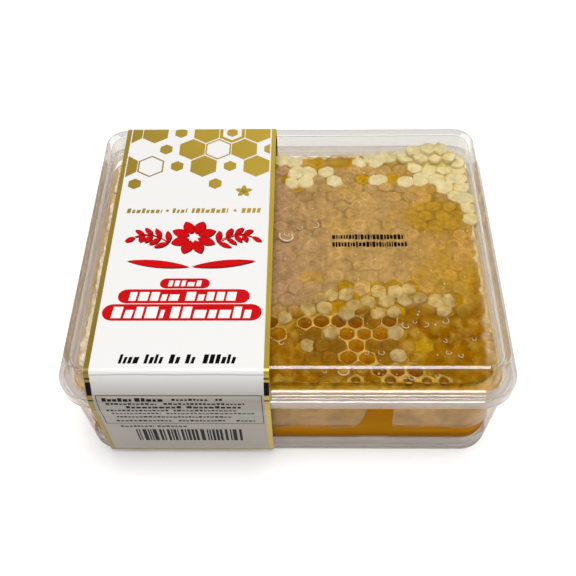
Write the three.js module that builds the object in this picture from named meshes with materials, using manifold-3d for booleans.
// Retail pack of cut honeycomb: a clear moulded tray with a raised floor, a clear lift-off lid with a
// raised panel, a block of comb standing in a shallow pool of honey, and a printed strap round the pack.
// Millimetres. X runs along the long side, Y from front to back, Z up, and the tray stands on Z = 0.
import * as THREE from 'three';
import { mergeVertices } from 'three/addons/utils/BufferGeometryUtils.js';
import Module from 'manifold-3d';

const wasm = await Module();
wasm.setup();

// ---- Driving dimensions ----
const PACK_LENGTH = 134;
const PACK_DEPTH = 108;
const CORNER_RADIUS = 10.9;
const CORNER_STEPS = 6;
const CLEARANCE = 0.3;

const TRAY = {
  rimHeight: 37,
  rimInset: 1.5,
  footInset: 4.2,
  footRadius: 4.6,
  wall: 1.6,
  floorTop: 11,
  floorThickness: 1.6,
  flangeWidth: 1.8,
  floorFillet: 1.5,
};

const LID = {
  skirtBottom: 34.2,
  skirtThickness: 1.2,
  ledgeTop: 38.8,
  ledgeThickness: 1.5,
  ledgeRound: 0.8,
  panelTop: 49.2,
  panelInset: 3.4,
  panelDraft: 0.3,
  panelRound: 1.6,
  panelRadius: 6.6,
  wall: 1.5,
};

const COMB = {
  cellPitch: 5.1,
  top: 39.4,
  bottom: 13,
  waistHeight: 20.6,
  shoulderHeight: 21.8,
  footInset: 10,
  waistInset: 7.6,
  panelGap: 0.5,
  cornerRadius: 9,
  innerRing: 0.76,
  unevenness: 0.35,
  seed: 11,
};

const HONEY = {
  level: 20,
  columnLeft: 24.8,
  columnRight: 31.2,
  columnTop: 31,
  columnDepth: 4,
};

const STRAP = {
  left: -56.4,
  right: -4.6,
  thickness: 0.35,
  bottomEdge: 1,
};

// ---- Closed solids from rings and outlines ----
const lerp = (a, b, t) => a + (b - a) * t;

// Points of a rounded rectangle that lies `inset` inside the pack's outline, at one height.
function ring(inset, height, radius) {
  const halfX = PACK_LENGTH / 2 - inset - radius;
  const halfY = PACK_DEPTH / 2 - inset - radius;
  const corners = [[1, 1], [-1, 1], [-1, -1], [1, -1]];
  const points = [];
  corners.forEach(([sideX, sideY], quarter) => {
    for (let step = 0; step <= CORNER_STEPS; step++) {
      const angle = (quarter + step / CORNER_STEPS) * Math.PI / 2;
      const x = sideX * halfX + radius * Math.cos(angle);
      const y = sideY * halfY + radius * Math.sin(angle);
      points.push([x, y, height]);
    }
  });
  return points;
}

// A closed skin through the rings. The first and the last ring are flat and end in a fan.
function loft(rings) {
  const count = rings[0].length;
  const positions = rings.flat(2);
  const index = [];
  for (let level = 0; level + 1 < rings.length; level++) {
    for (let i = 0; i < count; i++) {
      const next = (i + 1) % count;
      const a = level * count + i;
      const b = level * count + next;
      index.push(a, b, b + count, a, b + count, a + count);
    }
  }
  const firstCentre = rings.length * count;
  const lastCentre = firstCentre + 1;
  const lastStart = (rings.length - 1) * count;
  positions.push(0, 0, rings[0][0][2], 0, 0, rings[rings.length - 1][0][2]);
  for (let i = 0; i < count; i++) {
    const next = (i + 1) % count;
    index.push(firstCentre, next, i);
    index.push(lastCentre, lastStart + i, lastStart + next);
  }
  return closedGeometry(positions, index);
}

function closedGeometry(positions, index) {
  const geometry = new THREE.BufferGeometry();
  geometry.setAttribute('position', new THREE.Float32BufferAttribute(positions, 3));
  geometry.setIndex(index);
  return geometry;
}

function toSolid(geometry) {
  const bare = geometry.clone();
  bare.deleteAttribute('normal');
  bare.deleteAttribute('uv');
  const merged = mergeVertices(bare, 1e-4);
  const vertProperties = new Float32Array(merged.attributes.position.array);
  const triVerts = new Uint32Array(merged.index.array);
  return new wasm.Manifold(new wasm.Mesh({ numProp: 3, vertProperties, triVerts }));
}

function toGeometry(solid) {
  const mesh = solid.getMesh();
  const geometry = closedGeometry(Array.from(mesh.vertProperties), Array.from(mesh.triVerts));
  geometry.computeVertexNormals();
  return geometry;
}

function block(left, right, front, back, bottom, top) {
  const geometry = new THREE.BoxGeometry(right - left, back - front, top - bottom);
  geometry.translate((left + right) / 2, (front + back) / 2, (bottom + top) / 2);
  return toSolid(geometry);
}

// ---- Tray ----
// The wall leans outwards on its way up, and rounds under into a foot that stands clear of the floor.
function trayOuterInset(height) {
  const rise = (height - TRAY.footRadius) / (TRAY.rimHeight - TRAY.footRadius);
  return lerp(TRAY.footInset, TRAY.rimInset, rise);
}

const trayInnerInset = (height) => trayOuterInset(height) + TRAY.wall;
const trayRadius = (inset) => CORNER_RADIUS - 0.6 * inset;

function footArc(radius, fromDegrees, toDegrees, steps) {
  const centreInset = TRAY.footInset + TRAY.footRadius;
  const points = [];
  for (let step = 0; step <= steps; step++) {
    const angle = THREE.MathUtils.degToRad(lerp(fromDegrees, toDegrees, step / steps));
    const inset = centreInset - radius * Math.cos(angle);
    points.push([inset, TRAY.footRadius - radius * Math.sin(angle)]);
  }
  return points;
}

function trayGeometry() {
  const underside = TRAY.floorTop - TRAY.floorThickness;
  const flangeInset = TRAY.footInset + TRAY.footRadius + TRAY.flangeWidth;
  const fillet = TRAY.floorFillet;
  const floorInset = trayInnerInset(TRAY.floorTop);
  const profile = [
    [trayInnerInset(underside), underside],
    ...footArc(TRAY.footRadius - TRAY.wall, 0, 90, 4),
    [flangeInset, TRAY.wall],
    [flangeInset, 0],
    ...footArc(TRAY.footRadius, 90, 0, 6),
    [TRAY.rimInset, TRAY.rimHeight],
    [TRAY.rimInset + TRAY.wall, TRAY.rimHeight],
    [trayInnerInset(TRAY.floorTop + fillet), TRAY.floorTop + fillet],
    [floorInset + 0.3 * fillet, TRAY.floorTop + 0.3 * fillet],
    [floorInset + fillet, TRAY.floorTop],
  ];
  return loft(profile.map(([inset, height]) => ring(inset, height, trayRadius(inset))));
}

// ---- Lid ----
// A flat ledge carries a raised panel. The skirt hangs round the tray's rim.
function lidGeometry() {
  const panelInset = LID.panelInset + LID.panelDraft;
  const roofUnderside = LID.panelTop - LID.wall;
  const ledgeUnderside = LID.ledgeTop - LID.ledgeThickness;
  const innerRadius = LID.panelRadius - LID.wall;
  const skirtRadius = CORNER_RADIUS - LID.skirtThickness;
  const rings = [
    ring(panelInset + LID.wall + 0.8, roofUnderside, innerRadius - 0.8),
    ring(panelInset + LID.wall, roofUnderside - 0.8, innerRadius),
    ring(LID.panelInset + LID.wall, ledgeUnderside, innerRadius),
    ring(LID.skirtThickness, ledgeUnderside, skirtRadius),
    ring(LID.skirtThickness, LID.skirtBottom, skirtRadius),
    ring(0, LID.skirtBottom, CORNER_RADIUS),
  ];
  const roundedEdge = (inset, radius, height, round) => {
    for (let step = 0; step <= 3; step++) {
      const angle = step / 3 * Math.PI / 2;
      const inward = round * (1 - Math.cos(angle));
      const edgeHeight = height - round * (1 - Math.sin(angle));
      rings.push(ring(inset + inward, edgeHeight, radius - inward));
    }
  };
  roundedEdge(0, CORNER_RADIUS, LID.ledgeTop, LID.ledgeRound);
  rings.push(ring(LID.panelInset, LID.ledgeTop, LID.panelRadius + LID.panelDraft));
  roundedEdge(panelInset, LID.panelRadius, LID.panelTop, LID.panelRound);
  return loft(rings);
}

// ---- Comb ----
// A steady pseudo-random number from 0 to 1 for two whole numbers.
function chance(i, j, salt) {
  const wave = Math.sin(i * 127.1 + j * 311.7 + salt * 74.7 + COMB.seed) * 43758.5453;
  return wave - Math.floor(wave);
}

// The cells lie in rows along X. Near the front edge the rows are pushed a little to the right.
function cellPlace(column, row) {
  return [(column + (row & 1) / 2) * COMB.cellPitch, row * COMB.cellPitch * Math.sqrt(3) / 2];
}

function leaning(x, y) {
  const front = THREE.MathUtils.smoothstep(-38 - y, 0, 10);
  return [x + 2.1 * front * THREE.MathUtils.clamp((x - 6) / 8, 0, 1), y];
}

// Bees cap most cells with wax. Columns of the cells that stand open, and of those with a full, high cap.
const OPEN_CELLS = new Map([
  [-6, [-1, 1, 2, 3, 4, 6]],
  [-7, [-1, 3, 4, 5]],
  [-8, [4]],
  [-9, [3, 4]],
  [-11, [3, 5, 6, 7, 8]],
]);

const FULL_CELLS = new Map([
  [-3, [5, 6, 7]],
  [-4, [3, 4, 5, 6, 7, 8, 9, 10]],
  [-5, [1, 2, 3, 5, 6, 9]],
  [-6, [0]],
  [-7, [2]],
  [-8, [1]],
  [-9, [6]],
  [8, [0, 1, 3, 6, 8, 9]],
  [9, [0, 1, 2]],
  [10, [0, 5, 6, 8, 9]],
]);

function cellKind(column, row) {
  const [x, y] = cellPlace(column, row);
  const crowd = (x - 60) / 15.5 + (y - 44) / 13;
  if (OPEN_CELLS.get(row)?.includes(column)) return 'open';
  if (FULL_CELLS.get(row)?.includes(column) || crowd > -1) return 'raised';
  return 'capped';
}

const CELL_FORMS = {
  capped: { ring: 0.25, centre: 0.4 },
  raised: { ring: 1.2, centre: 1.6 },
  open: { ring: -2.2, centre: -3 },
};

// The comb face as a sheet of hexagonal cells, closed below by a flat underside.
function reliefSolid() {
  const pitch = COMB.cellPitch;
  const rowPitch = pitch * Math.sqrt(3) / 2;
  const columns = Math.ceil(PACK_LENGTH / 2 / pitch) + 1;
  const rows = Math.ceil(PACK_DEPTH / 2 / rowPitch) + 1;
  const underside = COMB.bottom - 5;
  const positions = [];
  const index = [];
  const corners = new Map();
  const addPoint = (x, y, z) => positions.push(x, y, z) / 3 - 1;
  const swell = (x, y) => COMB.unevenness * (Math.sin(x / 17) + Math.sin(y / 13 + x / 29));
  const corner = (x, y) => {
    const gridX = Math.round(x / pitch * 6);
    const gridY = Math.round(y / rowPitch * 6);
    const key = `${gridX},${gridY}`;
    if (!corners.has(key)) {
      const [leanX, leanY] = leaning(x, y);
      const px = leanX + (chance(gridX, gridY, 2) - 0.5) * 0.12 * pitch;
      const py = leanY + (chance(gridX, gridY, 3) - 0.5) * 0.12 * pitch;
      const height = COMB.top + swell(x, y);
      corners.set(key, { x: px, y: py, top: addPoint(px, py, height), low: addPoint(px, py, underside) });
    }
    return corners.get(key);
  };
  const edges = new Map();
  for (let j = -rows; j <= rows; j++) {
    for (let i = -columns; i <= columns; i++) {
      const [plainX, plainY] = cellPlace(i, j);
      const [cx, cy] = leaning(plainX, plainY);
      const around = [];
      for (let k = 0; k < 6; k++) {
        const angle = (k + 0.5) * Math.PI / 3;
        const reach = pitch / Math.sqrt(3);
        around.push(corner(plainX + reach * Math.cos(angle), plainY + reach * Math.sin(angle)));
      }
      const form = CELL_FORMS[cellKind(i, j)];
      const height = COMB.top + swell(cx, cy) + (chance(i, j, 4) - 0.5) * 0.3;
      const centre = addPoint(cx, cy, height + form.centre);
      const underStrap = cx > STRAP.left + pitch && cx < STRAP.right - pitch;
      const inner = around.map((c) => addPoint(
        lerp(cx, c.x, COMB.innerRing),
        lerp(cy, c.y, COMB.innerRing),
        height + form.ring,
      ));
      for (let k = 0; k < 6; k++) {
        const n = (k + 1) % 6;
        if (underStrap) {
          index.push(centre, around[k].top, around[n].top);
        } else {
          index.push(centre, inner[k], inner[n]);
          index.push(inner[k], around[k].top, around[n].top, inner[k], around[n].top, inner[n]);
        }
        if (k > 0 && k < 5) index.push(around[0].low, around[n].low, around[k].low);
        const edge = [around[k], around[n]];
        const edgeKey = [edge[0].top, edge[1].top].sort((a, b) => a - b).join();
        if (edges.has(edgeKey)) edges.delete(edgeKey);
        else edges.set(edgeKey, edge);
      }
    }
  }
  for (const [from, to] of edges.values()) {
    index.push(from.top, from.low, to.low, from.top, to.low, to.top);
  }
  return toSolid(closedGeometry(positions, index));
}

// The space the comb fills: the tray above the pool, a narrower foot in the pool, and clear of the lid.
function combEnvelope(grow) {
  const side = (height) => trayInnerInset(height) + 0.4;
  const underLid = LID.ledgeTop - LID.ledgeThickness - COMB.panelGap;
  const panel = LID.panelInset + LID.wall + LID.panelDraft + COMB.panelGap;
  const profile = [
    [COMB.footInset, COMB.bottom - grow],
    [COMB.footInset, COMB.bottom],
    [COMB.waistInset, COMB.waistHeight],
    [side(COMB.shoulderHeight), COMB.shoulderHeight],
    [side(underLid), underLid - panel + side(underLid)],
    [panel, underLid],
    [panel, LID.panelTop],
  ];
  return toSolid(loft(profile.map(([inset, height]) => ring(inset - grow, height, COMB.cornerRadius + grow))));
}

// Where the comb stops short of the front wall, honey stands higher.
function honeyColumn(grow) {
  const wallFace = -PACK_DEPTH / 2;
  const backFace = wallFace + trayInnerInset(HONEY.level) + HONEY.columnDepth;
  return block(
    HONEY.columnLeft - grow,
    HONEY.columnRight + grow,
    wallFace,
    backFace + grow,
    HONEY.level - 2,
    HONEY.columnTop + grow,
  );
}

function combGeometry() {
  const comb = reliefSolid().intersect(combEnvelope(0)).subtract(honeyColumn(CLEARANCE));
  return toGeometry(comb);
}

// ---- Honey ----
function honeyGeometry() {
  const bottom = TRAY.floorTop + CLEARANCE;
  const fillet = TRAY.floorFillet;
  const profile = [
    [trayInnerInset(bottom) + fillet + CLEARANCE, bottom],
    [trayInnerInset(bottom) + 0.4 * fillet + CLEARANCE, bottom + 0.4 * fillet],
    [trayInnerInset(bottom + fillet) + CLEARANCE, bottom + fillet],
    [trayInnerInset(HONEY.columnTop) + CLEARANCE, HONEY.columnTop],
  ];
  const cavity = toSolid(loft(profile.map(([inset, height]) => ring(inset, height, trayRadius(inset)))));
  const halfLength = PACK_LENGTH / 2;
  const halfDepth = PACK_DEPTH / 2;
  const pool = block(-halfLength, halfLength, -halfDepth, halfDepth, 0, HONEY.level);
  const filled = pool.add(honeyColumn(0)).intersect(cavity);
  const combHole = combEnvelope(CLEARANCE).subtract(honeyColumn(0));
  return toGeometry(filled.subtract(combHole));
}

// ---- Strap ----
// Half of the strap's inner face, seen from the side: over the panel, then a straight bridge down to
// the ledge's edge, past the skirt, and in again to the foot of the tray.
function strapOutline() {
  const halfDepth = PACK_DEPTH / 2;
  const gap = CLEARANCE;
  const footInset = trayOuterInset(TRAY.footRadius);
  const half = [
    [halfDepth - LID.panelInset - 1.6, LID.panelTop + gap],
    [halfDepth - LID.panelInset + 0.4, LID.panelTop + gap - 0.1],
    [halfDepth - LID.panelInset + 1.1, LID.panelTop + gap - 0.9],
    [halfDepth + 0.2, LID.ledgeTop + 3],
    [halfDepth + 0.5, LID.ledgeTop + 0.6],
    [halfDepth + gap, LID.ledgeTop - 1.4],
    [halfDepth + gap, LID.skirtBottom - 0.2],
    [halfDepth - 0.5, LID.skirtBottom - 4],
    [halfDepth - footInset + gap + 0.1, TRAY.footRadius + 2],
    [halfDepth - footInset + gap - 0.3, TRAY.footRadius - 1],
    [halfDepth - footInset - 0.7, STRAP.bottomEdge],
  ];
  const inner = half.map(([y, z]) => new THREE.Vector2(y, z));
  return [...inner.map((p) => new THREE.Vector2(-p.x, p.y)).reverse(), ...inner];
}

// The outline moved outwards by the strap's thickness, point by point.
function offsetOutline(points, distance) {
  return points.map((point, i) => {
    const before = points[Math.max(i - 1, 0)];
    const after = points[Math.min(i + 1, points.length - 1)];
    const along = after.clone().sub(before).normalize();
    return new THREE.Vector2(point.x - along.y * distance, point.y + along.x * distance);
  });
}

function strapGeometry() {
  const inner = strapOutline();
  const outer = offsetOutline(inner, STRAP.thickness);
  const shape = new THREE.Shape([...inner, ...outer.reverse()]);
  const width = STRAP.right - STRAP.left;
  const geometry = new THREE.ExtrudeGeometry(shape, { depth: width, bevelEnabled: false });
  const sideways = new THREE.Matrix4().makeBasis(
    new THREE.Vector3(0, 1, 0),
    new THREE.Vector3(0, 0, 1),
    new THREE.Vector3(1, 0, 0),
  );
  geometry.applyMatrix4(sideways);
  geometry.translate(STRAP.left, 0, 0);
  return geometry;
}

// ---- Pieces ----
const clearPlastic = { color: 0xe9e6e0, roughness: 0.08, metalness: 0, transparent: true, opacity: 0.35 };

function piece(name, geometry, finish) {
  geometry.computeVertexNormals();
  const mesh = new THREE.Mesh(geometry, new THREE.MeshStandardMaterial(finish));
  mesh.name = name;
  return mesh;
}

const pack = new THREE.Group();
pack.add(piece('tray', trayGeometry(), clearPlastic));
pack.add(piece('lid', lidGeometry(), clearPlastic));
pack.add(piece('honeycomb', combGeometry(), { color: 0xc9a566, roughness: 0.35, metalness: 0 }));
pack.add(piece('honey', honeyGeometry(), { color: 0x9a6408, roughness: 0.05, metalness: 0 }));
pack.add(piece('label_strap', strapGeometry(), { color: 0xf4f3f0, roughness: 0.3, metalness: 0 }));

export default pack;
